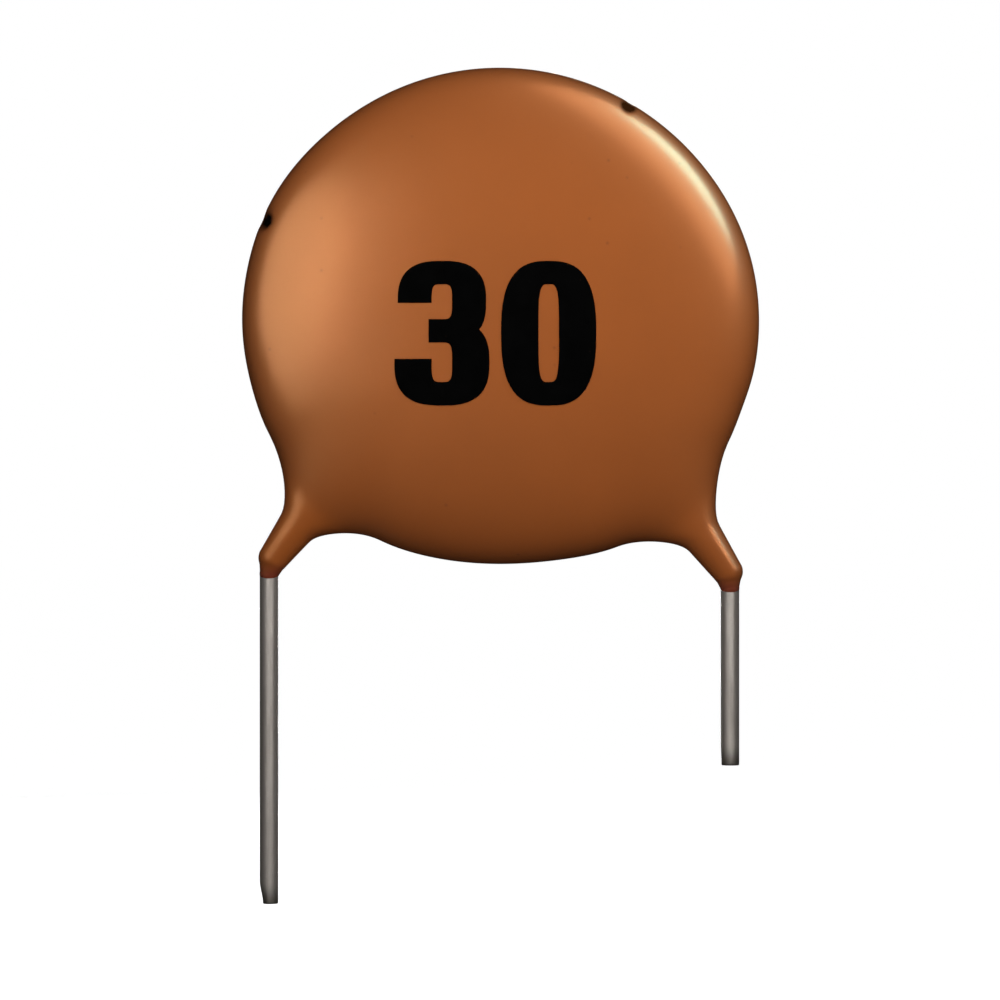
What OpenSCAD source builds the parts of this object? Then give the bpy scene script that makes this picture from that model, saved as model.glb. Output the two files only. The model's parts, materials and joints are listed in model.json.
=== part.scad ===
// Single-layer ceramic disc capacitor with two radial leads, dipped in lacquer. Lengths are in millimetres.
// X runs along the lead pitch, Z points away from the circuit board, and the printed face looks towards -Y.
// The origin is midway between the leads, on the plane where the lower leg of the coat ends.

/* [Ceramic] */
// Diameter of the fired ceramic disc
ceramic_d = 9.6; // [8:0.1:10.5]
// Thickness of the ceramic disc
ceramic_t = 0.8; // [0.5:0.05:1.5]
// Chamfer on the ceramic disc's edges
ceramic_chamfer = 0.06; // [0.02:0.01:0.15]
// Bare ring between the silvered face and the edge of the disc
electrode_margin = 0.5; // [0.3:0.05:0.9]
// Thickness of the fired silver layer
electrode_t = 0.03; // [0.02:0.005:0.06]

/* [Leads] */
// Distance between the two leads
lead_pitch = 10; // [9:0.25:11]
// Diameter of the tinned wire
lead_d = 0.4; // [0.3:0.02:0.5]
// Length of the left lead below the board plane
left_drop = 6.8; // [4:0.1:12]
// Length of the right lead below the board plane
right_drop = 3.8; // [3:0.1:12]
// Radius of the wire's axis in its bends
wire_bend_r = 0.6; // [0.5:0.05:0.9]
// Height of the wire's bend above the end of its coat leg
bend_rise = 0.4; // [0.36:0.02:0.6]
// Distance of the wire's soldered end from the disc's middle, along X
landing_x = 1.3; // [0.8:0.1:1.8]
// Depth of the wire's soldered end below the disc's middle
landing_drop = 0.2; // [0:0.05:0.6]

/* [Solder] */
// Solder between the wire and the silvered face
solder_film = 0.05; // [0.03:0.01:0.1]
// Solder over the wire at the middle of the bead
solder_cover = 0.2; // [0.12:0.02:0.3]
// Length of the solder bead
solder_len = 2.6; // [2:0.1:3.2]
// Length of the bead past the wire's end
solder_past = 0.6; // [0.4:0.05:0.8]

/* [Coat] */
// Lacquer around the edge of the ceramic disc
coat_rim = 0.8; // [0.6:0.05:1.2]
// Lacquer over the solder beads
coat_face = 0.37; // [0.25:0.01:0.6]
// Diameter of the flat middle of each face
flat_d = 5.2; // [5:0.1:6]
// Depth of the soft edge around the flat middle
flat_blend = 0.1; // [0.05:0.01:0.2]
// Height by which the belly is drawn in from a full circle
belly_lift = 0.43; // [0.2:0.01:0.48]
// Clear height of the belly above the board plane
belly_gap = 0.56; // [0.3:0.02:1]
// Height of the left leg's end above the right leg's end
left_leg_lift = 0.3; // [0:0.02:0.5]
// Lacquer around the wire at the end of a leg
leg_tip_wall = 0.04; // [0.03:0.01:0.1]
// Lacquer around the wire at the bend of a leg
leg_bend_wall = 0.14; // [0.1:0.01:0.2]
// Radius of a leg where it has run into the disc
leg_root_r = 1.07; // [0.8:0.05:1.3]
// Inward set of the leg at the wire's bend
leg_inset = 0.05; // [0.02:0.01:0.08]
// Reach of the soft web between the disc and a leg
web_reach = 1.55; // [1:0.05:1.8]

/* [Print] */
// Height of the printed digits
digit_h = 3.1; // [2:0.1:3.6]
// Width of a digit
digit_w = 2.04; // [1.8:0.02:2.2]
// Space between the digits
digit_gap = 0.25; // [0.15:0.01:0.5]
// Width of the upright strokes
stem_w = 0.8; // [0.5:0.02:0.84]
// Width of the level strokes
bar_w = 0.5; // [0.3:0.02:0.55]
// Opening between the arms and the middle bar of the three
arm_gap = 0.35; // [0.2:0.01:0.36]
// Place of the print's middle to the right of the disc's middle
print_right = -0.09; // [-0.3:0.01:0.3]
// Place of the print's middle above the disc's middle
print_up = -0.2; // [-0.3:0.01:0.3]
// Thickness of the ink
ink_t = 0.02; // [0.01:0.005:0.04]

/* [Hidden] */
$fn = 96;

// The left lead is soldered to the front face and the right lead to the rear face.
LEFT = -1;
RIGHT = 1;

ceramic_r = ceramic_d / 2;
electrode_r = ceramic_r - electrode_margin;
lead_r = lead_d / 2;
solder_face = ceramic_t / 2 + electrode_t;
wire_depth = solder_face + solder_film + lead_r;
bead_h = solder_film + lead_d + solder_cover;
// The bead's axis lies a little behind the silvered face, so its foot is nearly as wide as it can be.
bead_sink = solder_film;
bead_r = bead_h + bead_sink;
coat_r = ceramic_r + coat_rim;
face_h = solder_face + bead_h + coat_face;
disc_z = belly_gap + coat_r - belly_lift;
leg_tip_r = lead_r + leg_tip_wall;
leg_bend_r = lead_r + leg_bend_wall;
// The wire has reached its face before it passes over the disc's edge.
clear_r = ceramic_r + lead_r;

// Share of its diameter that the wire keeps in a bend, and the angle by which a bend runs on into its runs
bend_thin_share = 0.98;
bend_lap = 6;

// Powers of the rim's rounding and of the belly's fall
rim_power = 4;
belly_power = 4;
// Share of the dome's height that the lacquer keeps at the rim, where it drains thin
rim_keep_share = 0.74;
// Run past the rim, as a share of the disc's radius, over which the lacquer is back to its full height on a leg
leg_run_share = 0.15;
// The dome that the flat middle is cut from
flat_share = flat_d / 2 / coat_r;
dome_h = (face_h + flat_blend) / kept_share(flat_share) / sqrt(1 - pow(flat_share, rim_power));

// Powers of the digits' rounded outlines
bowl_power = 2.7;
counter_power = 4;
// Points around each rounded outline
outline_points = 72;
// Shares of the three's shape: its upper bowl's width, its bar's middle, its bowls' overlap and its bar's end
upper_bowl_share = 0.93;
waist_share = 0.016;
bowl_lap_share = 0.08;
bar_end_share = 0.28;

// Steps of the coat's mesh: over the top, from the middle to a wire's end, along a leg, around a leg's end, and
// from the outline to the middle
fan_steps = 40;
core_steps = 3;
run_steps = 16;
tip_steps = 6;
ring_steps = 10;
// Steps along a leg over which its lines turn to the vertical
turn_steps = 6;
// Halvings that find the coat's outline, and how far past the coat's radius the search starts
halvings = 24;
search_share = 1.25;

function unit(v) = v / norm(v);
function mix(a, b, share) = a + (b - a) * share;
function limited(u) = min(max(u, 0), 1);
function eased(u) = limited(u) * limited(u) * (3 - 2 * limited(u));
function smooth_max(a, b, reach) = max(a, b) + pow(max(reach - abs(a - b), 0), 2) / (4 * reach);
function smooth_min(a, b, reach) = -smooth_max(-a, -b, reach);

// Points of a lead in the plane of X and Z
function disc_middle() = [0, disc_z];
function leg_end(side) = side == LEFT ? left_leg_lift : 0;
function bend_point(side) = [side * lead_pitch / 2, leg_end(side) + bend_rise];
function landing_point(side) = [side * landing_x, disc_z - landing_drop];
function run_direction(side) = unit(landing_point(side) - bend_point(side));

// Length of the slanting run, from the bend to where the wire lies along its face
function crank_run(side) =
    let (from = bend_point(side) - disc_middle())
    let (along = from * run_direction(side))
    -along - sqrt(clear_r * clear_r + along * along - from * from);

// Distance of the wire's axis from the mid plane of the disc, eased along the slanting run
function wire_y(p, side) =
    side * wire_depth * eased((p - bend_point(side)) * run_direction(side) / crank_run(side));

// Corners of the wire's path, from its free tip to its soldered end
function in_space(p, y) = [p[0], y, p[1]];
function wire_tip(side) = [side * lead_pitch / 2, side == LEFT ? -left_drop : -right_drop];
function crank_point(side) = bend_point(side) + crank_run(side) * run_direction(side);
function wire_path(side) = [
    in_space(wire_tip(side), 0),
    in_space(bend_point(side), 0),
    in_space(crank_point(side), side * wire_depth),
    in_space(landing_point(side), side * wire_depth),
];

// Square of the half thickness that a round, tapered run of coat has at a point
function run_field(p, from, to, from_r, to_r) =
    let (share = limited((p - from) * (to - from) / ((to - from) * (to - from))))
    let (away = p - mix(from, to, share))
    pow(mix(from_r, to_r, share), 2) - away * away;

function leg_tip(side) = [side * lead_pitch / 2, leg_end(side) + leg_tip_r];
function leg_bend(side) = bend_point(side) - [side * leg_inset, 0];
function leg_field(p, side) =
    max(run_field(p, leg_tip(side), leg_bend(side), leg_tip_r, leg_bend_r),
        run_field(p, leg_bend(side), landing_point(side), leg_bend_r, leg_root_r));

// How far a point is on its way from the disc's middle to the rim, whose belly is drawn in
function disc_share(p) =
    let (from = p - disc_middle())
    let (fall = pow(max(-from[1], 0) / max(norm(from), lead_r), belly_power))
    norm(from) / (coat_r - belly_lift * fall);

// Square of the half thickness that the dome of the coated disc has at a point
function disc_field(p) = dome_h * dome_h * (1 - pow(disc_share(p), rim_power));

// Share of its height that the coat keeps on the way to the rim, and past it on a leg
function kept_share(way_share) =
    mix(mix(1, rim_keep_share, pow(limited(way_share), 2)), 1, eased((way_share - 1) / leg_run_share));

// Disc and legs flow into one another through a web.
function side_of(p) = p[0] < 0 ? LEFT : RIGHT;
function coat_field(p) = smooth_max(disc_field(p), leg_field(p, side_of(p)), web_reach * web_reach);
function half_thickness(p) =
    smooth_min(face_h, kept_share(disc_share(p)) * sqrt(max(coat_field(p), 0)), flat_blend);

// The coat's own mid plane follows the wire along the legs.
function leg_share(p) =
    eased(1 / 2 + (leg_field(p, side_of(p)) - disc_field(p)) / (web_reach * web_reach));
function mid_y(p) = leg_share(p) * wire_y(p, side_of(p));

// Distance from a point inside the coat to its outline
function reach_to_edge(p, direction, near, far, left) =
    left == 0 ? near :
    coat_field(p + direction * (near + far) / 2) > 0 ?
        reach_to_edge(p, direction, (near + far) / 2, far, left - 1) :
        reach_to_edge(p, direction, near, (near + far) / 2, left - 1);

// The spine runs from the disc's middle down each leg: its points are numbered 0, then right, then left.
spine_steps = core_steps + run_steps + 1;
function side_spine(side) = concat(
    [for (i = [1 : core_steps]) mix(disc_middle(), landing_point(side), i / core_steps)],
    [for (i = [1 : run_steps]) mix(landing_point(side), leg_bend(side), i / run_steps)],
    [leg_tip(side)]
);
spine = concat([disc_middle()], side_spine(RIGHT), side_spine(LEFT));
function spine_number(side, i) = side == RIGHT ? i : spine_steps + i;

// Lines that run from the spine to the outline, each with its spine number and direction
function outward(side) = [side * abs(run_direction(side)[1]), abs(run_direction(side)[0])];
function polar(angle) = [cos(angle), sin(angle)];
function inward(side, i) = unit(mix(-outward(side), [0, -1], limited((spine_steps - 1 - i) / turn_steps)));
function side_lines(side) = concat(
    [for (i = [1 : spine_steps - 1]) [spine_number(side, i), outward(side)]],
    [for (i = [0 : tip_steps])
        [spine_number(side, spine_steps), [side * cos(180 * i / tip_steps), -sin(180 * i / tip_steps)]]],
    [for (i = [spine_steps - 1 : -1 : 1]) [spine_number(side, i), inward(side, i)]]
);
function reversed(list) = [for (i = [len(list) - 1 : -1 : 0]) list[i]];
fan_from = atan2(outward(LEFT)[1], outward(LEFT)[0]);
fan_to = atan2(outward(RIGHT)[1], outward(RIGHT)[0]);
lines = concat(
    [for (i = [0 : fan_steps]) [0, polar(mix(fan_from, fan_to, i / fan_steps))]],
    side_lines(RIGHT),
    [[0, [0, -1]]],
    reversed(side_lines(LEFT))
);
line_count = len(lines);
reaches = [for (line = lines)
    reach_to_edge(spine[line[0]], line[1], 0, search_share * coat_r, halvings)];

// Points of the coat's mesh: the outline, then rings and spine on the front, then on the back
function ring_point(line, ring) =
    spine[lines[line][0]] + lines[line][1] * reaches[line] * cos(90 * ring / ring_steps);
function on_face(p, face) = in_space(p, mid_y(p) + face * half_thickness(p));
function face_points(face) = concat(
    [for (ring = [1 : ring_steps - 1]) for (line = [0 : line_count - 1]) on_face(ring_point(line, ring), face)],
    [for (p = spine) on_face(p, face)]
);
outline = [for (line = [0 : line_count - 1]) in_space(ring_point(line, 0), mid_y(ring_point(line, 0)))];
face_point_count = (ring_steps - 1) * line_count + len(spine);
FRONT = 0;
BACK = 1;
function ring_number(face, line, ring) =
    ring == 0 ? line % line_count :
    ring == ring_steps ?
        line_count + face * face_point_count + (ring_steps - 1) * line_count + lines[line % line_count][0] :
        line_count + face * face_point_count + (ring - 1) * line_count + line % line_count;
function facing(face, corners) = face == FRONT ? corners : reversed(corners);
function face_triangles(face) = [
    for (ring = [0 : ring_steps - 1])
    for (line = [0 : line_count - 1])
    let (a = ring_number(face, line, ring), b = ring_number(face, line + 1, ring))
    let (c = ring_number(face, line + 1, ring + 1), d = ring_number(face, line, ring + 1))
    each c == d ? [facing(face, [a, b, c])] : [facing(face, [a, b, c]), facing(face, [a, c, d])]
];

// Outer form of the dipped coat
module coat_form() {
    polyhedron(points = concat(outline, face_points(-1), face_points(1)),
               faces = concat(face_triangles(FRONT), face_triangles(BACK)));
}

// Turns the Z axis to a direction
module turned_to(direction) {
    rotate([0, acos(direction[2] / norm(direction)), atan2(direction[1], direction[0])]) children();
}

// Directions of the wire before and after a corner of its path, and the bend between them
function entry(path, i) = unit(path[i] - path[i - 1]);
function exit(path, i) = unit(path[i + 1] - path[i]);
function bend_angle(path, i) = acos(entry(path, i) * exit(path, i));
function curl(path, i) = unit(exit(path, i) - entry(path, i) * cos(bend_angle(path, i)));

// Length that a bend takes from each of the two runs it joins, none at the wire's ends
function bend_trim(path, i) =
    i == 0 || i == len(path) - 1 ? 0 : wire_bend_r * tan(bend_angle(path, i) / 2);
function run_length(path, i) = norm(path[i + 1] - path[i]) - bend_trim(path, i) - bend_trim(path, i + 1);

// Turn about the wire that brings its X axis round to the next bend
function carried_x(path, i) =
    i == 1 ? [1, 0, 0] :
    curl(path, i - 1) * cos(bend_angle(path, i - 1)) - entry(path, i - 1) * sin(bend_angle(path, i - 1));
function bend_roll(path, i) =
    let (x = carried_x(path, i))
    atan2(cross(entry(path, i), x) * curl(path, i), x * curl(path, i));

// The wire from a corner of its path onwards, drawn up the Z axis
module wire_from(path, i) {
    bend = i + 1;
    cylinder(h = run_length(path, i), d = lead_d);
    if (bend < len(path) - 1)
        translate([0, 0, run_length(path, i)]) rotate(bend_roll(path, bend)) translate([wire_bend_r, 0, 0]) {
            rotate([90, 0, 180]) rotate(-bend_lap) rotate_extrude(angle = bend_angle(path, bend) + 2 * bend_lap)
                translate([wire_bend_r, 0]) circle(d = bend_thin_share * lead_d);
            rotate([0, bend_angle(path, bend), 0]) translate([-wire_bend_r, 0, 0]) wire_from(path, bend);
        }
}

// Whole lead, from its free tip through two bends to its soldered end
module lead(side) {
    path = wire_path(side);
    translate(path[0]) wire_from(path, 0);
}

// Silvered face of the ceramic disc
module electrode(side) {
    translate([0, side * (ceramic_t + electrode_t) / 2, disc_z])
        rotate([90, 0, 0]) cylinder(h = electrode_t, r = electrode_r, center = true);
}

// Round bar with ball ends that a bead of solder is cut from
module bead_form(side) {
    along = in_space(run_direction(side), 0);
    axis_y = side * (solder_face - bead_sink);
    middle = in_space(landing_point(side), axis_y) + along * (solder_past - solder_len / 2);
    translate(middle) turned_to(along) intersection() {
        cylinder(h = solder_len, r = bead_r, center = true);
        sphere(d = solder_len);
    }
}

// Bead of solder, flat on the silvered face and fitted around the wire
module solder_bead(side) {
    difference() {
        bead_form(side);
        translate([0, side * (solder_face - solder_len), disc_z])
            cube([ceramic_d, 2 * solder_len, ceramic_d], center = true);
        lead(side);
    }
}

// Rounded outline of a digit's bowl or counter
module rounded(half_w, half_h, power) {
    polygon([for (i = [0 : outline_points - 1])
        let (c = cos(360 * i / outline_points), s = sin(360 * i / outline_points))
        [half_w * sign(c) * pow(abs(c), 2 / power), half_h * sign(s) * pow(abs(s), 2 / power)]]);
}

module digit_zero() {
    difference() {
        rounded(digit_w / 2, digit_h / 2, bowl_power);
        rounded(digit_w / 2 - stem_w, digit_h / 2 - bar_w, counter_power);
    }
}

module digit_three() {
    waist = waist_share * digit_h;
    lap = bowl_lap_share * digit_h;
    upper_h = digit_h / 2 - waist + lap;
    lower_h = digit_h / 2 + waist + lap;
    counter_half_w = digit_w / 2 - stem_w;
    upper_counter_h = digit_h / 2 - waist - bar_w * 3 / 2;
    lower_counter_h = digit_h / 2 + waist - bar_w * 3 / 2;
    difference() {
        union() {
            translate([0, digit_h / 2 - upper_h / 2])
                rounded(upper_bowl_share * digit_w / 2, upper_h / 2, bowl_power);
            translate([0, lower_h / 2 - digit_h / 2])
                rounded(digit_w / 2, lower_h / 2, bowl_power);
        }
        translate([0, waist + bar_w / 2 + upper_counter_h / 2])
            rounded(counter_half_w, upper_counter_h / 2, counter_power);
        translate([0, waist - bar_w / 2 - lower_counter_h / 2])
            rounded(counter_half_w, lower_counter_h / 2, counter_power);
        for (up = [-1, 1])
            translate([-digit_w / 2, waist + up * (bar_w + arm_gap) / 2 - arm_gap / 2])
                square([digit_w / 2, arm_gap]);
        translate([-digit_w, waist - bar_w / 2 - arm_gap])
            square([digit_w - bar_end_share * digit_w / 2, bar_w + 2 * arm_gap]);
    }
}

// Everything that the coat encloses, as one form
module core_form() {
    ceramic_disc();
    translate([0, 0, disc_z]) rotate([90, 0, 0]) cylinder(h = 2 * solder_face, r = electrode_r, center = true);
    for (side = [LEFT, RIGHT]) {
        bead_form(side);
        lead(side);
    }
}

module coating() {
    color([0.65, 0.35, 0.17]) difference() {
        coat_form();
        core_form();
    }
}

module ceramic_disc() {
    color([0.86, 0.83, 0.76]) translate([0, 0, disc_z]) rotate([90, 0, 0]) rotate_extrude()
        polygon([
            [0, -ceramic_t / 2],
            [ceramic_r - ceramic_chamfer, -ceramic_t / 2],
            [ceramic_r, ceramic_chamfer - ceramic_t / 2],
            [ceramic_r, ceramic_t / 2 - ceramic_chamfer],
            [ceramic_r - ceramic_chamfer, ceramic_t / 2],
            [0, ceramic_t / 2],
        ]);
}

module front_electrode() {
    color([0.8, 0.79, 0.76]) electrode(LEFT);
}

module rear_electrode() {
    color([0.8, 0.79, 0.76]) electrode(RIGHT);
}

module front_solder() {
    color([0.62, 0.62, 0.63]) solder_bead(LEFT);
}

module rear_solder() {
    color([0.62, 0.62, 0.63]) solder_bead(RIGHT);
}

module left_lead() {
    color([0.66, 0.64, 0.61]) lead(LEFT);
}

module right_lead() {
    color([0.66, 0.64, 0.61]) lead(RIGHT);
}

module value_print() {
    color([0.06, 0.05, 0.05]) translate([print_right, -face_h, disc_z + print_up]) rotate([90, 0, 0])
        linear_extrude(ink_t) {
            translate([-(digit_w + digit_gap) / 2, 0]) digit_three();
            translate([(digit_w + digit_gap) / 2, 0]) digit_zero();
        }
}

coating();
ceramic_disc();
front_electrode();
rear_electrode();
front_solder();
rear_solder();
left_lead();
right_lead();
value_print();
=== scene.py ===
# %% [markdown]
# # A dipped ceramic disc capacitor
# The part is a ceramic disc with a wire soldered to each face, dipped in brown lacquer and stamped with its
# value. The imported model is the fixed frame: it gives every piece's place and size. This lesson builds the
# finer surfaces that show, gives each piece its finish, and lights it as a plain studio picture.

# %% Load the frame
import json
import math

import bmesh
import bpy
import numpy as np
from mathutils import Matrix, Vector


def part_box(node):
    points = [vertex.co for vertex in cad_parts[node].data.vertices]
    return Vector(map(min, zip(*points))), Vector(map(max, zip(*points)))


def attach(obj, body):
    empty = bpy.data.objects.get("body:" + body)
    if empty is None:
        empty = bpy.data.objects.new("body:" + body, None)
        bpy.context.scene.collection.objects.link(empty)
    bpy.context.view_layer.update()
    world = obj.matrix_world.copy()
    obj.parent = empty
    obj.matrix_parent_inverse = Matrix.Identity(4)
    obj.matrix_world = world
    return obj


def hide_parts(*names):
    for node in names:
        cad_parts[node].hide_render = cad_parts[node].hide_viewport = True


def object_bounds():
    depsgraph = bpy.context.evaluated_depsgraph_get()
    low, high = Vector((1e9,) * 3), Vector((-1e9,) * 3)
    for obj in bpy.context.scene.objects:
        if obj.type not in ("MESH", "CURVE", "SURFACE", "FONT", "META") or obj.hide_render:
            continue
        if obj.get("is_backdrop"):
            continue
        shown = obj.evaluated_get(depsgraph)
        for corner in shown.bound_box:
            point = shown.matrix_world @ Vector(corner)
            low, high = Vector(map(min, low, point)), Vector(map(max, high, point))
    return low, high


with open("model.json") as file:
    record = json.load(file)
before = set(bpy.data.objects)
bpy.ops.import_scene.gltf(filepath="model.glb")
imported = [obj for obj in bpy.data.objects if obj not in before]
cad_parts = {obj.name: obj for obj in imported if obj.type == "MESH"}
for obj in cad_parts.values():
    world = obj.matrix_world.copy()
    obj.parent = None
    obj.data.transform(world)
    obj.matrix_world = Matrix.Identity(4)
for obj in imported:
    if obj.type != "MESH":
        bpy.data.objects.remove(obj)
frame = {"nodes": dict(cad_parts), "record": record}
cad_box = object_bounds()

MM = 0.001
scene = bpy.context.scene
scene.view_settings.view_transform = "Standard"
print("nodes:", ", ".join(sorted(frame["nodes"])))

# %% [markdown]
# ## Camera
# The picture looks straight at the printed face from some distance, so a long lens suits it. The two wires
# stand a known pitch apart on the real part. Their places in the picture therefore give the scale, and the
# scale gives the width that the camera has to take in.

# %% Camera
PICTURE_SIDE = 1000
LEFT_WIRE_PIXEL = 269
RIGHT_WIRE_PIXEL = 730
BOARD_PLANE_PIXEL = 590
LENS = 200

lead_pair = next(mount for mount in frame["record"]["mounts"] if mount["name"] == "lead_pair")
lead_pitch = lead_pair["dims"]["spacing_x_mm"] * MM
lead_r = lead_pair["dims"]["stud_r_mm"] * MM

pixel = lead_pitch / (RIGHT_WIRE_PIXEL - LEFT_WIRE_PIXEL)
camera_data = bpy.data.cameras.new("camera")
camera_data.lens = LENS
camera_distance = PICTURE_SIDE * pixel * LENS / camera_data.sensor_width
camera_data.clip_start = camera_distance / 100
camera = bpy.data.objects.new("camera", camera_data)
camera.location = (
    (PICTURE_SIDE - LEFT_WIRE_PIXEL - RIGHT_WIRE_PIXEL) / 2 * pixel,
    -camera_distance,
    (BOARD_PLANE_PIXEL - PICTURE_SIDE / 2) * pixel,
)
camera.rotation_euler = (math.pi / 2, 0, 0)
scene.collection.objects.link(camera)
scene.camera = camera
print(f"camera {camera_distance / MM:.1f} mm in front, one pixel is {pixel / MM:.4f} mm")

# %% [markdown]
# ## The form of the coat
# A dipped coat has no edges: lacquer gathers round the disc, draws in along the belly and runs down each
# wire as a tapering leg. Boxes and cylinders can't flow into one another like that, and a sculpted mesh
# would not keep the real sizes. A field can do both. It gives the square of the coat's half thickness at
# each point of the disc's plane, for the disc and for each leg, and a soft maximum joins them with a web.
# The thickness is then slimmed, most of all at the rim, and grows again on the legs, which have to cover
# the wires.

# %% Sizes of the coat
LEFT = -1
RIGHT = 1
coat_low, coat_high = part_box("coating")
coat_r = (coat_high.x - coat_low.x) / 2
face_h = coat_high.y
disc_middle = np.array([0, coat_high.z - coat_r])

flat_r = 3.5 * MM
flat_blend = 0.1 * MM
face_crown = 0.3 * MM
belly_lift = 0.43 * MM
web_reach = 1.55 * MM
RIM_POWER = 4
BELLY_POWER = 4
dome_h = (face_h + flat_blend) / math.sqrt(1 - (flat_r / coat_r) ** RIM_POWER)

leg_end = {LEFT: 0.3 * MM, RIGHT: 0}
bend_rise = 0.4 * MM
leg_inset = {LEFT: 0.1 * MM, RIGHT: 0.05 * MM}
lip_rise = 0.05 * MM
lip_r = lead_r + 0.006 * MM
leg_bend_r = lead_r + 0.13 * MM
leg_root_r = 1.07 * MM
landing_x = 1.3 * MM
landing_drop = 0.2 * MM
ceramic_low, ceramic_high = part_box("ceramic_disc")
clear_r = (ceramic_high.x - ceramic_low.x) / 2
silver_low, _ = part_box("front_electrode")
wire_depth = lead_r - silver_low.y
crank_start = 1.2 * MM
MIDDLE_SLIM = 0.87
RIM_SLIM = 0.76
LEG_DEPTH = 1.1
DEPTH_RUN = 0.2
print(f"coat radius {coat_r / MM:.3f} mm, half thickness {face_h / MM:.3f} mm")


# %% Points along a leg
def unit(vector):
    return vector / np.linalg.norm(vector)


def mix(a, b, share):
    return a + (b - a) * share


def bend_point(side):
    return np.array([side * lead_pitch / 2, leg_end[side] + bend_rise])


def leg_bend(side):
    return bend_point(side) - np.array([side * leg_inset[side], 0])


def leg_lip(side):
    return np.array([side * lead_pitch / 2, leg_end[side] + lip_rise])


def landing_point(side):
    return disc_middle + np.array([side * landing_x, -landing_drop])


def run_direction(side):
    return unit(landing_point(side) - bend_point(side))


def crank_run(side):
    """Length of the slanting run, from the bend to where the wire lies along its face."""
    start = bend_point(side) - disc_middle
    along = start @ run_direction(side)
    return -along - math.sqrt(clear_r ** 2 + along ** 2 - start @ start)


for side, label in ((LEFT, "left"), (RIGHT, "right")):
    print(f"slanting run of the {label} wire {crank_run(side) / MM:.2f} mm")

# %% [markdown]
# The outline of a dipped part is never a true circle. A few soft swells and hollows, each with a place
# round the rim, a width and a height, bring it to the real one. They only change the radius that the field
# starts from.

# %% Fields of the coat
SWELL_ANGLES = np.radians([15, 150, 196, 218, 232, 300, 341])
SWELL_WIDTHS = np.radians([24, 16, 14, 9, 8, 13, 7])
swell_heights = np.array([0.05, 0.05, -0.06, -0.14, -0.06, 0.1, -0.04]) * MM


def limited(value):
    return np.clip(value, 0.0, 1.0)


def eased(value):
    return limited(value) ** 2 * (3 - 2 * limited(value))


def smooth_max(a, b, reach):
    return np.maximum(a, b) + np.maximum(reach - abs(a - b), 0) ** 2 / (4 * reach)


def run_field(points, start, end, start_r, end_r):
    """Square of the half thickness of a round, tapered run of coat."""
    along = end - start
    share = limited((points - start) @ along / (along @ along))
    away = points - mix(start, end, share[..., None])
    return mix(start_r, end_r, share) ** 2 - (away ** 2).sum(-1)


def leg_field_of(points, side):
    neck = run_field(points, leg_lip(side), leg_bend(side), lip_r, leg_bend_r)
    root = run_field(points, leg_bend(side), landing_point(side), leg_bend_r, leg_root_r)
    return np.maximum(neck, root)


def by_side(points, rule):
    return np.where(points[..., 0] < 0, rule(points, LEFT), rule(points, RIGHT))


def rim_radius(points):
    """Radius of the coated disc in the direction of each point, with its belly drawn in and its swells."""
    offset = points - disc_middle
    distance = np.maximum(np.linalg.norm(offset, axis=-1), lead_r)
    fall = (np.maximum(-offset[..., 1], 0) / distance) ** BELLY_POWER
    angle = np.arctan2(offset[..., 1], offset[..., 0])[..., None] - SWELL_ANGLES
    angle = (angle + math.pi) % (2 * math.pi) - math.pi
    swells = (swell_heights * np.exp(-(angle / SWELL_WIDTHS) ** 2)).sum(-1)
    return coat_r - belly_lift * fall + swells


def disc_share(points):
    return np.linalg.norm(points - disc_middle, axis=-1) / rim_radius(points)


def disc_field(points):
    return dome_h ** 2 * (1 - disc_share(points) ** RIM_POWER)


def coat_field(points):
    return smooth_max(disc_field(points), by_side(points, leg_field_of), web_reach ** 2)


def slimness(points):
    """Share of the field's thickness that the coat keeps: less towards the rim, and more on the legs."""
    share = disc_share(points)
    on_disc = mix(MIDDLE_SLIM, RIM_SLIM, eased(share))
    return mix(on_disc, LEG_DEPTH, eased(eased((share - 1) / DEPTH_RUN)))


def half_thickness(points):
    crowned = face_h - face_crown * disc_share(points) ** 2
    rounded = slimness(points) * np.sqrt(np.maximum(coat_field(points), 0))
    return -smooth_max(-crowned, -rounded, flat_blend)


print(f"half thickness in the middle {half_thickness(disc_middle[None])[0] / MM:.3f} mm")

# %% [markdown]
# ## The coat's mesh
# Marching cubes would turn this field into a surface, but its triangles would be uneven and the gloss would
# show it. Here lines run out from a spine, which is the disc's middle and the axes of the legs, to the
# outline. Rings along those lines lie closer together towards the rim, where the surface turns quickly, so
# reflections stay smooth.

# %% Lines from the spine to the outline
FAN_STEPS = 300
CORE_STEPS = 16
RUN_STEPS = 56
NECK_STEPS = 12
TIP_STEPS = 20
RING_STEPS = 40
HALVINGS = 40
SEARCH_SHARE = 1.25
outer_turn = 0.6 * MM
inner_turn = 2.4 * MM


def polar(angle):
    return np.stack([np.cos(angle), np.sin(angle)], axis=-1)


def outward_angle(side):
    direction = run_direction(side)
    return math.atan2(abs(direction[0]), abs(direction[1]))


def leg_spine(side):
    """Points from beside the disc's middle to a leg's lip, and the length of leg that is left at each."""
    corners = [disc_middle, landing_point(side), leg_bend(side), leg_lip(side)]
    counts = [CORE_STEPS, RUN_STEPS, NECK_STEPS]
    points = np.concatenate([
        mix(start, end, np.linspace(0, 1, count + 1)[1:, None])
        for start, end, count in zip(corners, corners[1:], counts)
    ])
    steps = np.linalg.norm(np.diff(points, axis=0), axis=1)
    return points, steps.sum() - np.concatenate([[0], np.cumsum(steps)])


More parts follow.
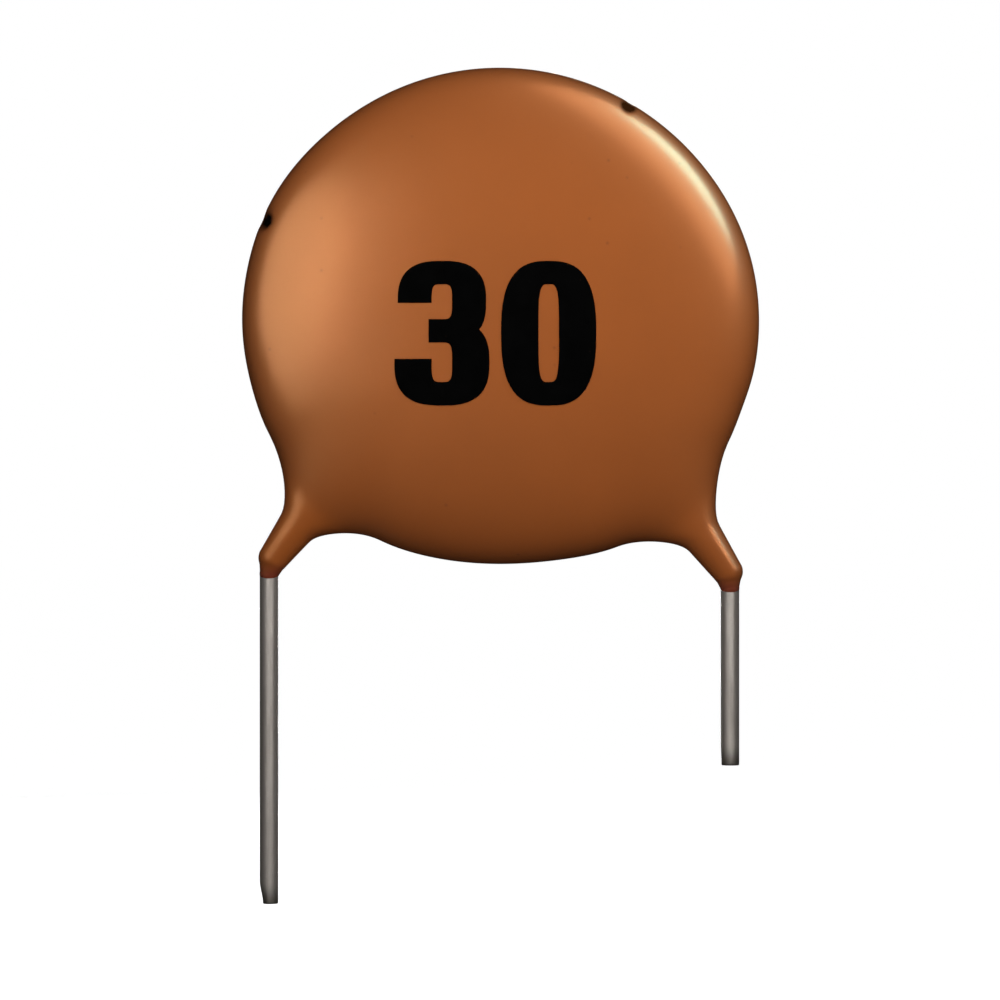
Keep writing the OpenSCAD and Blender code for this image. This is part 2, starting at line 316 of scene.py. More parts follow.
def leg_lines(side, first):
    """Spine number and direction of each line on a leg: down outside, round the lip and up inside."""
    points, left_over = leg_spine(side)
    count = len(points)
    numbers = np.arange(first, first + count)
    outer = outward_angle(side) * eased(left_over / outer_turn)
    lip = -math.pi * np.linspace(0, 1, TIP_STEPS + 1)[1:-1]
    inner = -math.pi + math.pi / 2 * eased(left_over / inner_turn)
    spine_numbers = np.concatenate([numbers, np.full(len(lip), numbers[-1]), numbers[::-1]])
    directions = polar(np.concatenate([outer, lip, inner[::-1]])) * np.array([side, 1])
    return points, spine_numbers, directions


print(f"each leg has {len(leg_spine(RIGHT)[0])} spine points")

# %% [markdown]
# Two small flaws are part of this piece: a pinhole in the lacquer at the left of the rim, and a nick at the
# upper right where the gloss breaks. Each is a shallow hollow pressed into the mesh, so the lines are set
# closer there.

# %% Flaws of the rim
PINHOLE_ANGLE = math.radians(156)
NICK_ANGLE = math.radians(59.5)
MARK_ANGLES = [PINHOLE_ANGLE, NICK_ANGLE]
MARK_DENSITY = 8
MARK_SPREAD = math.radians(4)
HOLLOW_LEAN = 0.4
PINHOLE_GAIN = 2
NICK_GAIN = 2.5

pinhole_place = (5.56 * MM, -0.25 * MM)
pinhole_size = (0.3 * MM, 0.42 * MM)
pinhole_depth = 0.12 * MM
nick_place = (5.53 * MM, -0.28 * MM)
nick_size = (0.26 * MM, 0.38 * MM)
nick_depth = 0.09 * MM


def fan_angles():
    """Angles over the top of the disc, from the left leg to the right, closer together at the small marks."""
    start = math.pi - outward_angle(LEFT)
    end = outward_angle(RIGHT)
    fine = np.linspace(start, end, FAN_STEPS * RING_STEPS)
    density = np.ones_like(fine)
    for angle in MARK_ANGLES:
        density += MARK_DENSITY * np.exp(-((fine - angle) / MARK_SPREAD) ** 2)
    reached = np.cumsum(density) - density[0]
    return np.interp(np.linspace(0, reached[-1], FAN_STEPS + 1), reached, fine)


def hollow(vertices, angle, place, size):
    """Share of a flaw's full depth at each vertex: 1 in its middle and 0 outside."""
    radial = np.array([math.cos(angle), math.sin(angle)])
    tangent = np.array([-radial[1], radial[0]])
    offset = vertices[:, [0, 2]] - disc_middle - place[0] * radial
    along = offset @ tangent / size[0]
    across = np.hypot(offset @ radial, vertices[:, 1] - place[1]) / size[1]
    return 1 - eased(np.hypot(along, across))


def pressed_in(vertices, shares, angle, depth):
    """Vertices moved towards the disc's middle, and a little forward, at a flaw."""
    outward = np.array([math.cos(angle), HOLLOW_LEAN, math.sin(angle)])
    return vertices - depth * shares[:, None] * unit(outward)


print("flaws at", [round(math.degrees(angle), 1) for angle in MARK_ANGLES], "degrees round the rim")


# %% Vertices and faces of the coat
def edge_reach(starts, directions):
    """Distance from each spine point to the outline, by halving."""
    near = np.zeros(len(starts))
    far = np.full(len(starts), SEARCH_SHARE * coat_r)
    for _ in range(HALVINGS):
        middle = (near + far) / 2
        inside = coat_field(starts + directions * middle[:, None]) > 0
        near = np.where(inside, middle, near)
        far = np.where(inside, far, middle)
    return near


def coat_vertices_and_faces():
    right_points, right_numbers, right_directions = leg_lines(RIGHT, 1)
    left_points, left_numbers, left_directions = leg_lines(LEFT, 1 + len(right_points))
    spine = np.concatenate([disc_middle[None], right_points, left_points])
    fan = polar(fan_angles())
    numbers = np.concatenate([np.zeros(len(fan), int), right_numbers, [0], left_numbers[::-1]])
    directions = np.concatenate([fan, right_directions, [[0, -1]], left_directions[::-1]])
    starts = spine[numbers]
    reach = edge_reach(starts, directions)
    shares = np.cos(math.pi / 2 * np.arange(RING_STEPS) / RING_STEPS)
    plane = starts + directions * reach[:, None] * shares[:, None, None]
    outline = np.insert(plane[0], 1, 0, axis=1)
    inner = np.concatenate([plane[1:].reshape(-1, 2), spine])
    thick = half_thickness(inner)
    vertices = np.concatenate([outline] + [np.insert(inner, 1, face * thick, axis=1) for face in (-1, 1)])
    line_count = len(numbers)
    faces = []
    for face in (0, 1):
        base = line_count + face * len(inner)
        rings = [np.arange(line_count)]
        rings += [base + ring * line_count + np.arange(line_count) for ring in range(RING_STEPS - 1)]
        rings.append(base + (RING_STEPS - 1) * line_count + numbers)
        for outer_ring, inner_ring in zip(rings, rings[1:]):
            next_outer, next_inner = np.roll(outer_ring, -1), np.roll(inner_ring, -1)
            quads = np.stack([outer_ring, next_outer, next_inner, inner_ring], axis=1)
            faces += [list(dict.fromkeys(quad if face == 0 else quad[::-1])) for quad in quads.tolist()]
    return vertices, faces


# %% Coat and its masks
def new_piece(name, vertices, faces, node):
    """A smooth mesh object that stands for a node of the frame and rides with it."""
    mesh = bpy.data.meshes.new(name)
    mesh.from_pydata(np.asarray(vertices).tolist(), [], faces)
    mesh.validate()
    mesh.shade_smooth()
    piece = bpy.data.objects.new(name, mesh)
    scene.collection.objects.link(piece)
    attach(piece, "root")
    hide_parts(node)
    print(f"{name}: {len(mesh.vertices)} vertices, {len(mesh.polygons)} faces")
    return piece


def set_mask(piece, name, values):
    attribute = piece.data.attributes.new(name, "FLOAT", "POINT")
    attribute.data.foreach_set("value", np.asarray(values, np.float32))


LEG_FROM = 0.96
LEG_RUN = 0.15
DULL_LEG = 0.55
thin_run = 0.35 * MM
coat_points, coat_faces = coat_vertices_and_faces()
pinhole_share = hollow(coat_points, PINHOLE_ANGLE, pinhole_place, pinhole_size)
nick_share = hollow(coat_points, NICK_ANGLE, nick_place, nick_size)
coat_points = pressed_in(coat_points, pinhole_share, PINHOLE_ANGLE, pinhole_depth)
coat_points = pressed_in(coat_points, nick_share, NICK_ANGLE, nick_depth)
end_heights = np.where(coat_points[:, 0] < 0, leg_end[LEFT], leg_end[RIGHT])
coat = new_piece("lacquer_coat", coat_points, coat_faces, "coating")
set_mask(coat, "thin", 1 - eased((coat_points[:, 2] - end_heights) / thin_run))
pinhole_mask = limited(PINHOLE_GAIN * pinhole_share)
nick_mask = limited(NICK_GAIN * nick_share)
on_legs = eased((disc_share(coat_points[:, [0, 2]]) - LEG_FROM) / LEG_RUN)
on_left = coat_points[:, 0] < 0
# These two masks place the painted shade in the pinhole and the nick, and also take away the gloss there.
set_mask(coat, "pinhole", pinhole_mask)
set_mask(coat, "nick", nick_mask)
set_mask(coat, "dull", np.max([pinhole_mask, nick_mask, DULL_LEG * on_legs * on_left], axis=0))
set_mask(coat, "sleek", on_legs * ~on_left)

# %% [markdown]
# ## The leads
# Each lead is soft tinned wire: it comes up straight from its cut end, bends in towards the disc, cranks
# over the disc's edge and ends in the solder. A curve with a round bevel would do for the run, but not for
# the cut ends, so rings are swept along a path whose corners are rounded to the wire's bending radius. The
# crank comes late, where the web is deep enough to cover it, and the wire then lies on the silvered face.

# %% Path of a wire
wire_bend_r = 0.6 * MM
wire_step = 0.05 * MM


def in_space(point, y):
    return np.array([point[0], y, point[1]])


def wire_corners(side):
    tip_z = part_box("left_lead" if side == LEFT else "right_lead")[0].z
    crank = bend_point(side) + crank_run(side) * run_direction(side)
    return [
        in_space([side * lead_pitch / 2, tip_z], 0),
        in_space(bend_point(side), 0),
        in_space(bend_point(side) + crank_start * run_direction(side), 0),
        in_space(crank, side * wire_depth),
        in_space(landing_point(side), side * wire_depth),
    ]


def straight_points(start, end, step):
    count = max(1, round(np.linalg.norm(end - start) / step))
    return [mix(start, end, share) for share in np.linspace(0, 1, count + 1)[1:]]


def rounded_path(corners, radius, step):
    """Points along a path of straight runs joined by arcs."""
    points = [corners[0]]
    for before, corner, after in zip(corners, corners[1:], corners[2:]):
        entry, leave = unit(corner - before), unit(after - corner)
        angle = math.acos(entry @ leave)
        trim = radius * math.tan(angle / 2)
        arc_start = corner - entry * trim
        points += straight_points(points[-1], arc_start, step)
        curl = unit(leave - entry * math.cos(angle))
        turns = np.linspace(0, angle, max(2, math.ceil(radius * angle / step)) + 1)[1:]
        points += [arc_start + radius * (entry * math.sin(t) + curl * (1 - math.cos(t))) for t in turns]
    points += straight_points(points[-1], corners[-1], step)
    return np.array(points)


wire_paths = {side: rounded_path(wire_corners(side), wire_bend_r, wire_step) for side in (LEFT, RIGHT)}
for side, label in ((LEFT, "left"), (RIGHT, "right")):
    print(f"{label} wire: {len(wire_paths[side])} rings")

# %% Tube of a wire
WIRE_SIDES = 48
cut_bevel = 0.015 * MM
nip_run = 0.5 * MM
nip_depth = {LEFT: 0.07 * MM, RIGHT: 0.015 * MM}


def wire_tube(path, radius, nip):
    """Vertices and faces of a wire whose start was nipped off from the left and whose end is plain."""
    tangents = np.gradient(path, axis=0)
    tangents /= np.linalg.norm(tangents, axis=1)[:, None]
    side_axis = np.array([1.0, 0, 0])
    angles = np.linspace(0, 2 * math.pi, WIRE_SIDES, endpoint=False)
    rings = []
    for place, tangent in zip(path, tangents):
        side_axis = unit(side_axis - (side_axis @ tangent) * tangent)
        front_axis = np.cross(tangent, side_axis)
        ring = np.outer(np.cos(angles), side_axis) + np.outer(np.sin(angles), front_axis)
        rings.append(place + radius * ring)
    bevelled = path[0] + (rings[0] - path[0]) * (1 - cut_bevel / radius)
    rings = [bevelled, rings[0] + [0, 0, cut_bevel]] + rings[1:]
    vertices = np.concatenate(rings + [path[:1], path[-1:]])
    leftward = limited((path[0][0] - vertices[:, 0]) / radius)
    vertices[:, 0] += nip * leftward * (1 - eased((vertices[:, 2] - path[0][2]) / nip_run))
    faces = []
    for ring in range(len(rings) - 1):
        for i in range(WIRE_SIDES):
            j = (i + 1) % WIRE_SIDES
            low, high = ring * WIRE_SIDES, (ring + 1) * WIRE_SIDES
            faces.append([low + i, low + j, high + j, high + i])
    last = (len(rings) - 1) * WIRE_SIDES
    for i in range(WIRE_SIDES):
        j = (i + 1) % WIRE_SIDES
        faces.append([len(vertices) - 2, j, i])
        faces.append([len(vertices) - 1, last + i, last + j])
    return vertices, faces


wires = {}
for side, node in ((LEFT, "left_lead"), (RIGHT, "right_lead")):
    wire_points, wire_faces = wire_tube(wire_paths[side], lead_r, nip_depth[side])
    wires[side] = new_piece(node + "_wire", wire_points, wire_faces, node)
    set_mask(wires[side], "cut", 1 - eased((wire_points[:, 2] - wire_paths[side][0][2]) / nip_run))

# %% [markdown]
# ## The stamped value
# The value is two plain digits stamped in black ink. Their outlines are in the frame already, but flat, and
# the face is a little crowned. So the frame's own mesh is copied, cut by a grid to give it points to bend
# at, and laid on the coat, where the ink stands just proud.

# %% Stamped digits
grid_step = 0.12 * MM
weld_reach = grid_step / 1000


def stamped_digits():
    source = frame["nodes"]["value_print"].data
    low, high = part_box("value_print")
    mesh = bmesh.new()
    mesh.from_mesh(source)
    bmesh.ops.remove_doubles(mesh, verts=mesh.verts, dist=weld_reach)
    for axis in (0, 2):
        normal = Vector([float(i == axis) for i in range(3)])
        for place in np.arange(low[axis] + grid_step / 2, high[axis], grid_step):
            geometry = mesh.verts[:] + mesh.edges[:] + mesh.faces[:]
            bmesh.ops.bisect_plane(mesh, geom=geometry, plane_co=normal * place, plane_no=normal)
    plane = np.array([[v.co.x, v.co.z] for v in mesh.verts])
    for vertex, thickness in zip(mesh.verts, half_thickness(plane)):
        vertex.co.y += face_h - thickness
    vertices = [list(v.co) for v in mesh.verts]
    mesh.verts.index_update()
    faces = [[v.index for v in face.verts] for face in mesh.faces]
    mesh.free()
    return vertices, faces


digit_points, digit_faces = stamped_digits()
digits = new_piece("value_digits", digit_points, digit_faces, "value_print")

# %% [markdown]
# ## Shared effects
# Several finishes need the same small faults: tone that drifts from patch to patch, a skin that ripples,
# and specks. Each is a node group with its own inputs, built once and placed in every material that needs
# it. The groups give only colours, masks and heights, and the shader itself stays in the material.

# %% Node helpers
def new_group(name, inputs, outputs):
    group = bpy.data.node_groups.new(name, "ShaderNodeTree")
    for label, kind, value in inputs:
        socket = group.interface.new_socket(label, in_out="INPUT", socket_type=kind)
        socket.default_value = value
    for label, kind in outputs:
        group.interface.new_socket(label, in_out="OUTPUT", socket_type=kind)
    return group, group.nodes.new("NodeGroupInput"), group.nodes.new("NodeGroupOutput")


def add(tree, kind, **settings):
    """A node with its settings, where a name with a leading 'in_' sets or links an input."""
    node = tree.nodes.new(kind)
    for key, value in settings.items():
        if not key.startswith("in_"):
            setattr(node, key, value)
    for key, value in settings.items():
        if key.startswith("in_"):
            label = key[3:]
            socket = node.inputs[int(label) if label.isdigit() else label.replace("_", " ")]
            if isinstance(value, bpy.types.NodeSocket):
                tree.links.new(value, socket)
            else:
                socket.default_value = value
    return node


def place_group(tree, group, **inputs):
    node = tree.nodes.new("ShaderNodeGroup")
    node.node_tree = group
    for key, value in inputs.items():
        socket = node.inputs[key.replace("_", " ").title()]
        if isinstance(value, bpy.types.NodeSocket):
            tree.links.new(value, socket)
        else:
            socket.default_value = value
    return node


def srgb(red, green, blue):
    """A colour as a painter reads it, 0 to 255, turned into the linear values that the renderer uses."""
    shares = np.array([red, green, blue]) / 255
    linear = np.where(shares <= 0.04045, shares / 12.92, ((shares + 0.055) / 1.055) ** 2.4)
    return (*linear.tolist(), 1)


print(f"a grey of 128 is {srgb(128, 128, 128)[0]:.3f} in linear light")

# %% Drifting tone
FLOAT, COLOUR = "NodeSocketFloat", "NodeSocketColor"

tone_drift, given, made = new_group(
    "tone_drift",
    [("Color", COLOUR, srgb(128, 128, 128)), ("Drift", FLOAT, 0.1), ("Scale", FLOAT, 600)],
    [("Color", COLOUR)],
)
spot = add(tone_drift, "ShaderNodeTexCoord").outputs["Object"]
patches = add(
    tone_drift, "ShaderNodeTexNoise",
    in_Vector=spot, in_Scale=given.outputs["Scale"], in_Detail=3,
)
centred = add(tone_drift, "ShaderNodeMath", operation="SUBTRACT", in_0=patches.outputs["Fac"], in_1=0.5)
swing = add(
    tone_drift, "ShaderNodeMath", operation="MULTIPLY",
    in_0=centred.outputs[0], in_1=given.outputs["Drift"],
)
level = add(tone_drift, "ShaderNodeMath", operation="MULTIPLY_ADD", in_0=swing.outputs[0], in_1=2, in_2=1)
drifted = add(
    tone_drift, "ShaderNodeHueSaturation",
    in_Color=given.outputs["Color"], in_Value=level.outputs[0],
)
tone_drift.links.new(drifted.outputs["Color"], made.inputs["Color"])
print("effect:", tone_drift.name)

# %% Rippled skin
skin_ripple, given, made = new_group(
    "skin_ripple",
    [("Broad Scale", FLOAT, 600), ("Fine Scale", FLOAT, 6000), ("Fine Share", FLOAT, 0.2)],
    [("Height", FLOAT)],
)
spot = add(skin_ripple, "ShaderNodeTexCoord").outputs["Object"]
broad = add(
    skin_ripple, "ShaderNodeTexNoise",
    in_Vector=spot, in_Scale=given.outputs["Broad Scale"], in_Detail=1,
)
fine = add(
    skin_ripple, "ShaderNodeTexNoise",
    in_Vector=spot, in_Scale=given.outputs["Fine Scale"], in_Detail=2,
)
height = add(
    skin_ripple, "ShaderNodeMath", operation="MULTIPLY_ADD",
    in_0=fine.outputs["Fac"], in_1=given.outputs["Fine Share"], in_2=broad.outputs["Fac"],
)
skin_ripple.links.new(height.outputs[0], made.inputs["Height"])
print("effect:", skin_ripple.name)

# %% Specks
specks, given, made = new_group(
    "specks",
    [("Scale", FLOAT, 3000), ("Size", FLOAT, 0.2), ("Share", FLOAT, 0.2)],
    [("Mask", FLOAT)],
)
spot = add(specks, "ShaderNodeTexCoord").outputs["Object"]
cells = add(specks, "ShaderNodeTexVoronoi", in_Vector=spot, in_Scale=given.outputs["Scale"])
picked = add(specks, "ShaderNodeSeparateColor", in_Color=cells.outputs["Color"])
chosen = add(
    specks, "ShaderNodeMath", operation="LESS_THAN",
    in_0=picked.outputs[0], in_1=given.outputs["Share"],
)
dots = add(
    specks, "ShaderNodeMapRange", interpolation_type="SMOOTHSTEP",
    in_Value=cells.outputs["Distance"], in_From_Min=given.outputs["Size"], in_From_Max=0,
    in_To_Min=0, in_To_Max=1,
)
mask = add(specks, "ShaderNodeMath", operation="MULTIPLY", in_0=dots.outputs[0], in_1=chosen.outputs[0])
specks.links.new(mask.outputs[0], made.inputs["Mask"])
print("effect:", specks.name)


# %% Material helper
def new_material(name):
    material = bpy.data.materials.new(name)
    material.use_nodes = True
    return material, material.node_tree, material.node_tree.nodes["Principled BSDF"]


def dress(piece, material):
    piece.data.materials.clear()
    piece.data.materials.append(material)
    print(f"{piece.name} is dressed in {material.name}")


def bump(tree, shader, height, distance, strength=1):
    node = add(tree, "ShaderNodeBump", in_Height=height, in_Distance=distance, in_Strength=strength)
    tree.links.new(node.outputs["Normal"], shader.inputs["Normal"])


def blend_colour(tree, mask, first, second):
    node = add(tree, "ShaderNodeMix", data_type="RGBA")
    for socket, value in (("Factor_Float", mask), ("A_Color", first), ("B_Color", second)):
        target = next(s for s in node.inputs if s.identifier == socket)
        if isinstance(value, bpy.types.NodeSocket):
            tree.links.new(value, target)
        else:
            target.default_value = value
    return next(s for s in node.outputs if s.identifier == "Result_Color")


# %% [markdown]
# ## Lacquer
# The coat is a brown phenolic-like lacquer, opaque, with a soft gloss that it takes from the dip. It is
# thinner and redder where it ends on the wires. In the pinhole and the nick it has no gloss, and its colour
# is darkened there as painted shade for the depth of those hollows. The left leg is duller than the disc and
# the right leg sleeker. A faint ripple and a few specks of filler keep it from looking too clean.

# %% Lacquer
LACQUER = srgb(163, 86, 34)
THIN_LACQUER = srgb(128, 56, 36)
# Painted shade: near black inside the pinhole, standing in for the shade in its depth.
PINHOLE_PAINTED_SHADE = srgb(14, 12, 10)
# Painted shade: dark brown in the nick, standing in for the shade inside that dent.
NICK_PAINTED_SHADE = srgb(64, 36, 16)
FILLER = srgb(140, 72, 32)
DISC_HAZE = 0.27
SLEEK_HAZE = 0.2
FULL_GLOSS = {"Specular IOR Level": 0.8, "Coat Weight": 0.9}
ripple_height = 0.012 * MM

lacquer, tree, shader = new_material("lacquer")
base = place_group(tree, tone_drift, color=LACQUER, drift=0.12, scale=420).outputs["Color"]
filler = place_group(tree, specks, scale=2600, size=0.16, share=0.12).outputs["Mask"]
base = blend_colour(tree, filler, base, FILLER)
# The thin colour is the lacquer's own; the nick and pinhole colours are painted shade in those hollows.
for mask_name, colour in (("thin", THIN_LACQUER), ("nick", NICK_PAINTED_SHADE), ("pinhole", PINHOLE_PAINTED_SHADE)):
    mask = add(tree, "ShaderNodeAttribute", attribute_name=mask_name).outputs["Fac"]
    base = blend_colour(tree, mask, base, colour)
tree.links.new(base, shader.inputs["Base Color"])
ripple = place_group(tree, skin_ripple, broad_scale=520, fine_scale=5200, fine_share=0.08).outputs["Height"]
bump(tree, shader, ripple, ripple_height)
shader.inputs["Roughness"].default_value = 0.5
shader.inputs["Coat IOR"].default_value = 2
sleek = add(tree, "ShaderNodeAttribute", attribute_name="sleek").outputs["Fac"]
haze = add(tree, "ShaderNodeMapRange", in_Value=sleek, in_To_Min=DISC_HAZE, in_To_Max=SLEEK_HAZE).outputs[0]
tree.links.new(haze, shader.inputs["Coat Roughness"])
dull = add(tree, "ShaderNodeAttribute", attribute_name="dull").outputs["Fac"]
for label, full_gloss in FULL_GLOSS.items():
    gloss = add(tree, "ShaderNodeMapRange", in_Value=dull, in_To_Min=full_gloss, in_To_Max=0).outputs[0]
    tree.links.new(gloss, shader.inputs[label])
dress(coat, lacquer)

# %% [markdown]
# ## Ink
# The stamped ink is flat black and dries a little unevenly, with pinholes where the stamp did not take.

# %% Ink
INK = srgb(5, 5, 5)
MISSED_INK = srgb(24, 15, 10)
ink_grain = 0.004 * MM

ink, tree, shader = new_material("ink")
base = place_group(tree, tone_drift, color=INK, drift=0.5, scale=2500).outputs["Color"]
missed = place_group(tree, specks, scale=5200, size=0.14, share=0.08).outputs["Mask"]
base = blend_colour(tree, missed, base, MISSED_INK)
tree.links.new(base, shader.inputs["Base Color"])
grain = place_group(tree, skin_ripple, broad_scale=3000, fine_scale=14000, fine_share=0.5).outputs["Height"]
bump(tree, shader, grain, ink_grain)
shader.inputs["Roughness"].default_value = 0.75
shader.inputs["Specular IOR Level"].default_value = 0.06
dress(digits, ink)

# %% [markdown]
# ## Tinned wire
# The wire is copper drawn through a die and hot-tinned. The tin is dull grey with fine, darker lines along
# the wire, and it is darker again at the cut end. Noise that is stretched along the wire gives lines that
# run its length.

# %% Tinned wire
TIN = srgb(198, 190, 182)
TIN_LINES = srgb(150, 140, 130)
CUT_TIN = srgb(120, 114, 106)
LINE_STRETCH = (1, 1, 0.04)
line_depth = 0.003 * MM

tinned_wire, tree, shader = new_material("tinned_wire")
spot = add(tree, "ShaderNodeTexCoord").outputs["Object"]
stretched = add(tree, "ShaderNodeVectorMath", operation="MULTIPLY", in_0=spot, in_1=LINE_STRETCH).outputs[0]
lines = add(tree, "ShaderNodeTexNoise", in_Vector=stretched, in_Scale=16000, in_Detail=2).outputs["Fac"]
base = place_group(tree, tone_drift, color=TIN, drift=0.12, scale=900).outputs["Color"]
line_mask = add(
    tree, "ShaderNodeMapRange",
    in_Value=lines, in_From_Min=0.45, in_From_Max=0.75, in_To_Max=0.35,
)
base = blend_colour(tree, line_mask.outputs[0], base, TIN_LINES)
cut = add(tree, "ShaderNodeAttribute", attribute_name="cut").outputs["Fac"]
base = blend_colour(tree, cut, base, CUT_TIN)
tree.links.new(base, shader.inputs["Base Color"])
roughness = add(tree, "ShaderNodeMapRange", in_Value=lines, in_To_Min=0.35, in_To_Max=0.5)
tree.links.new(roughness.outputs[0], shader.inputs["Roughness"])
bump(tree, shader, lines, line_depth)
shader.inputs["Metallic"].default_value = 0.7
for wire in wires.values():
    dress(wire, tinned_wire)

# %% [markdown]
# ## Inner pieces
# The ceramic disc, its silvered faces and the solder are sealed in the coat, and still get the finish that
# a broken part would show: chalky ceramic with dark grains, matt fired silver and satin solder. They are
# plain materials with the same shared effects, so one function makes them from their values.


# %% Inner pieces
def inner_finish(name, colour, fleck, metallic, roughness, relief):
    material, tree, shader = new_material(name)
    base = place_group(tree, tone_drift, color=colour, drift=0.14, scale=900).outputs["Color"]
    flecks = place_group(tree, specks, scale=4200, size=0.25, share=0.3).outputs["Mask"]
    base = blend_colour(tree, flecks, base, fleck)
    tree.links.new(base, shader.inputs["Base Color"])
    grain = place_group(tree, skin_ripple, broad_scale=1800, fine_scale=11000, fine_share=0.5)
    bump(tree, shader, grain.outputs["Height"], relief)
    shader.inputs["Metallic"].default_value = metallic
    shader.inputs["Roughness"].default_value = roughness
    return material


ceramic = inner_finish("ceramic", srgb(219, 212, 194), srgb(186, 176, 156), 0, 0.8, 0.004 * MM)
silver = inner_finish("silver", srgb(204, 201, 194), srgb(176, 172, 164), 1, 0.55, 0.003 * MM)
solder = inner_finish("solder", srgb(158, 158, 161), srgb(128, 128, 130), 1, 0.35, 0.008 * MM)
for node, material in (
    ("ceramic_disc", ceramic),
    ("front_electrode", silver),
    ("rear_electrode", silver),
    ("front_solder", solder),
    ("rear_solder", solder),
):
    dress(frame["nodes"][node], material)

# %% [markdown]
# ## Studio
# The part is held by its leads in use, so here its longer wire just touches a white floor. A white floor
# and world make the pale background. A gloss coat mirrors all that surrounds it, and the real picture has
# dark edges, so black card stands round the part as a photographer would set it, where only reflections see
# it.

# %% Floor
FLOOR_GLOW = 0.93
floor_side = 1.2
floor_z = cad_box[0].z


def flat_mesh(name, corners, faces):
    mesh = bpy.data.meshes.new(name)
    mesh.from_pydata(corners, [], faces)
    item = bpy.data.objects.new(name, mesh)
    scene.collection.objects.link(item)
    item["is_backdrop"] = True
    return item


def seen_background(tree):
    """1 for the rays that show the background: straight to the camera, mirrored or through glass."""
    path = add(tree, "ShaderNodeLightPath")
    either = add(
        tree, "ShaderNodeMath", operation="MAXIMUM",
        in_0=path.outputs["Is Camera Ray"], in_1=path.outputs["Is Glossy Ray"],
    )
    return add(
        tree, "ShaderNodeMath", operation="MAXIMUM",
        in_0=either.outputs[0], in_1=path.outputs["Is Transmission Ray"],
    ).outputs[0]


half = floor_side / 2
floor = flat_mesh(
    "floor",
    [(-half, -half, floor_z), (half, -half, floor_z), (half, half, floor_z), (-half, half, floor_z)],
    [(0, 1, 2, 3)],
)
white_floor, tree, shader = new_material("white_floor")
shader.inputs["Base Color"].default_value = srgb(190, 190, 190)
shader.inputs["Roughness"].default_value = 0.9
shader.inputs["Specular IOR Level"].default_value = 0
shader.inputs["Emission Color"].default_value = (1, 1, 1, 1)
glow = add(tree, "ShaderNodeMath", operation="MULTIPLY", in_0=seen_background(tree), in_1=FLOOR_GLOW)
tree.links.new(glow.outputs[0], shader.inputs["Emission Strength"])
dress(floor, white_floor)
floor.visible_diffuse = False
print(f"floor at {floor_z / MM:.2f} mm")

# %% Dark cards
card_reach = 0.16
card_gap = 0.001 * MM
card_low = floor_z + card_gap
corners = [
    (x, y, z)
    for x in (-card_reach, card_reach)
    for y in (-card_reach, card_reach)
    for z in (card_low, card_reach)
]
cards = flat_mesh(
    "dark_cards",
    corners,
    [(0, 1, 3, 2), (4, 6, 7, 5), (0, 4, 5, 1), (2, 3, 7, 6), (0, 2, 6, 4), (1, 5, 7, 3)],
)
black_card, tree, shader = new_material("black_card")
shader.inputs["Base Color"].default_value = srgb(12, 12, 12)
shader.inputs["Specular IOR Level"].default_value = 0
dress(cards, black_card)
cards.visible_camera = False
cards.visible_diffuse = False
cards.visible_shadow = False
cards.visible_transmission = False
print(f"cards {card_reach / MM:.0f} mm away on each side")

# %% World
DIM_LOW = 0.06
DIM_HIGH = 0.15

world = bpy.data.worlds.new("world")
scene.world = world
world.use_nodes = True
tree = world.node_tree
background = tree.nodes["Background"]
spot = add(tree, "ShaderNodeTexCoord").outputs["Generated"]
rise = add(tree, "ShaderNodeSeparateXYZ", in_Vector=spot).outputs["Z"]
ambient = add(
    tree, "ShaderNodeMapRange",
    in_Value=rise, in_From_Min=-1, in_From_Max=1, in_To_Min=DIM_LOW, in_To_Max=DIM_HIGH,
)
strength = add(tree, "ShaderNodeMix", data_type="FLOAT", in_0=seen_background(tree), in_B=1)
tree.links.new(ambient.outputs[0], strength.inputs["A"])
tree.links.new(strength.outputs[0], background.inputs["Strength"])
background.inputs["Color"].default_value = (1, 1, 1, 1)
print(f"world: white where it is seen, {DIM_LOW} to {DIM_HIGH} as light")

# %% [markdown]
# One lamp that gave both the colour and the gloss could be set for neither, so each lamp has one of the two
# jobs. Those for the matt colour are a key above the lens, a fill farther off, one at the right and two
# behind. They stand close, as they do for so small a thing, and their light falls off across it. Those for
# the gloss are kept to their pieces by light linking. The coat has a warm one at the left for the wide glow
# and a weaker one in front of it, a pair far off at the upper right, one bright for the streak on the rim
# and one warm beside it, and one behind. The wires have one in front and one behind. Each brightness is
# what a mirror would show.


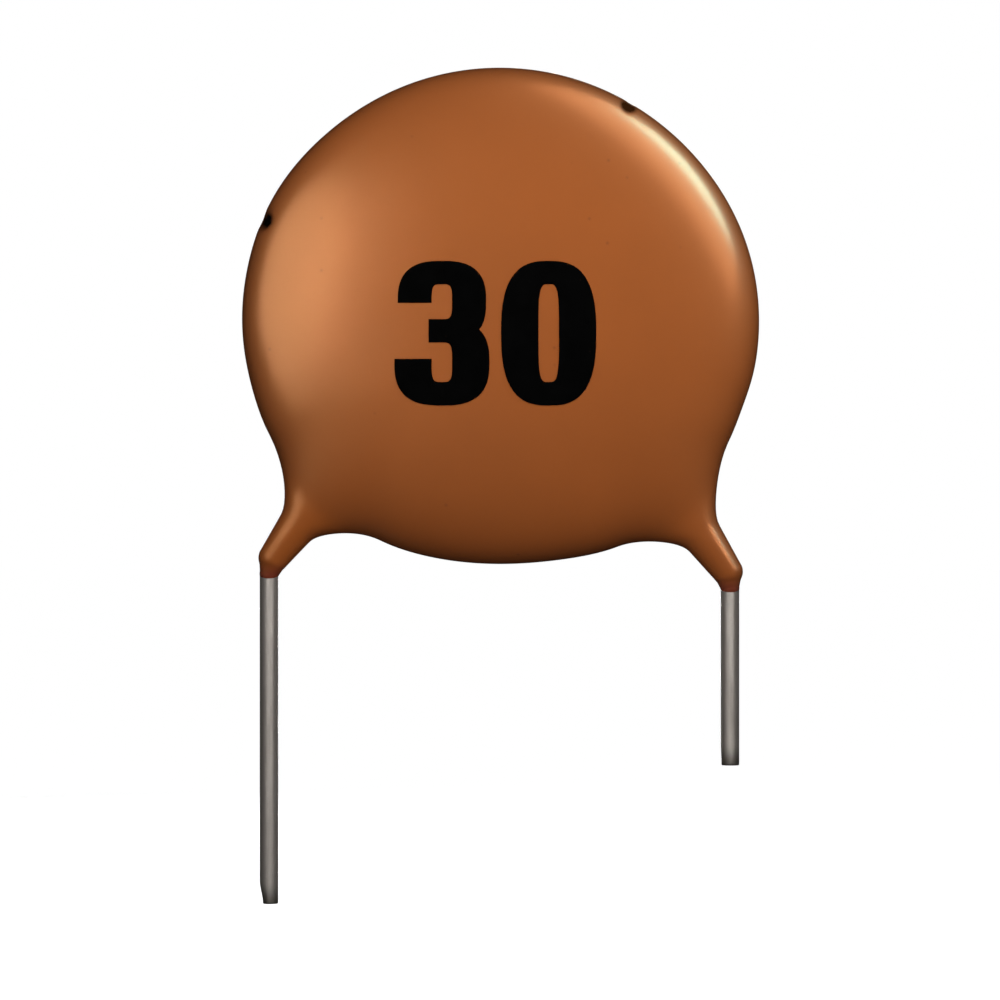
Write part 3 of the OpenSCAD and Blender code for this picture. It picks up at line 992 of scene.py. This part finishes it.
# %% Lamps
def soft_lamp(name, place, width, height, radiance, matt=True, gloss=True, tint=(1, 1, 1), onto=()):
    """An oval lamp that faces the disc, at a place measured from the disc's middle in millimetres."""
    away = Vector(place) * MM
    data = bpy.data.lights.new(name, "AREA")
    data.shape = "ELLIPSE"
    data.size = width
    data.size_y = height
    data.energy = radiance * math.pi * math.pi / 4 * width * height
    data.color = tint
    data.cycles.use_multiple_importance_sampling = matt and gloss
    lamp = bpy.data.objects.new(name, data)
    lamp.location = Vector((0, 0, disc_middle[1])) + away
    lamp.rotation_euler = away.to_track_quat("Z", "Y").to_euler()
    lamp.visible_camera = False
    lamp.visible_diffuse = matt
    lamp.visible_glossy = gloss
    if onto:
        lamp.light_linking.receiver_collection = bpy.data.collections.new(name + "_pieces")
        for piece in onto:
            lamp.light_linking.receiver_collection.objects.link(piece)
    scene.collection.objects.link(lamp)


soft_lamp("key", (1, -17, 6.8), 10 * MM, 10 * MM, 8.5, gloss=False)
soft_lamp("fill", (0, -60, -10), 34 * MM, 34 * MM, 4.7, gloss=False)
soft_lamp("right_fill", (16, -8, 4), 8 * MM, 8 * MM, 3.2, gloss=False)
gloss_lamp = {"matt": False, "onto": [coat]}
soft_lamp("left_glow", (-23, -17.8, 5.6), 27 * MM, 27 * MM, 3, tint=(1, 0.5, 0.22), **gloss_lamp)
soft_lamp("left_sheen", (-17, -38, 6), 18 * MM, 24 * MM, 1.8, tint=(1, 0.44, 0.2), **gloss_lamp)
soft_lamp("right_streak", (110, -22, 99), 46 * MM, 104 * MM, 7.3, tint=(0.44, 1, 0.74), **gloss_lamp)
soft_lamp("right_glow", (98, -50, 103), 122 * MM, 210 * MM, 3.3, tint=(1, 0.37, 0.13), **gloss_lamp)
soft_lamp("wire_front", (2, -30, -9), 70 * MM, 26 * MM, 1.35, matt=False, onto=list(wires.values()))
soft_lamp("back_key", (8, 34, 6), 24 * MM, 24 * MM, 6, gloss=False)
soft_lamp("back_fill", (-20, 40, -2), 24 * MM, 24 * MM, 3, gloss=False)
soft_lamp("back_glow", (5, 40, 11), 14 * MM, 14 * MM, 2.6, tint=(1, 0.6, 0.36), **gloss_lamp)
soft_lamp("wire_back", (0, 36, -9), 30 * MM, 26 * MM, 1.6, matt=False, onto=list(wires.values()))
print("lamps:", ", ".join(light.name for light in bpy.data.lights))

# %% [markdown]
# ## Size
# The dressed part has to keep the frame's size. Both boxes are written out so that they can be compared.

# %% Finish
visual_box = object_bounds()
for label, box in (("cad", cad_box), ("visual", visual_box)):
    print(label, [round(length / MM, 3) for length in box[1] - box[0]])
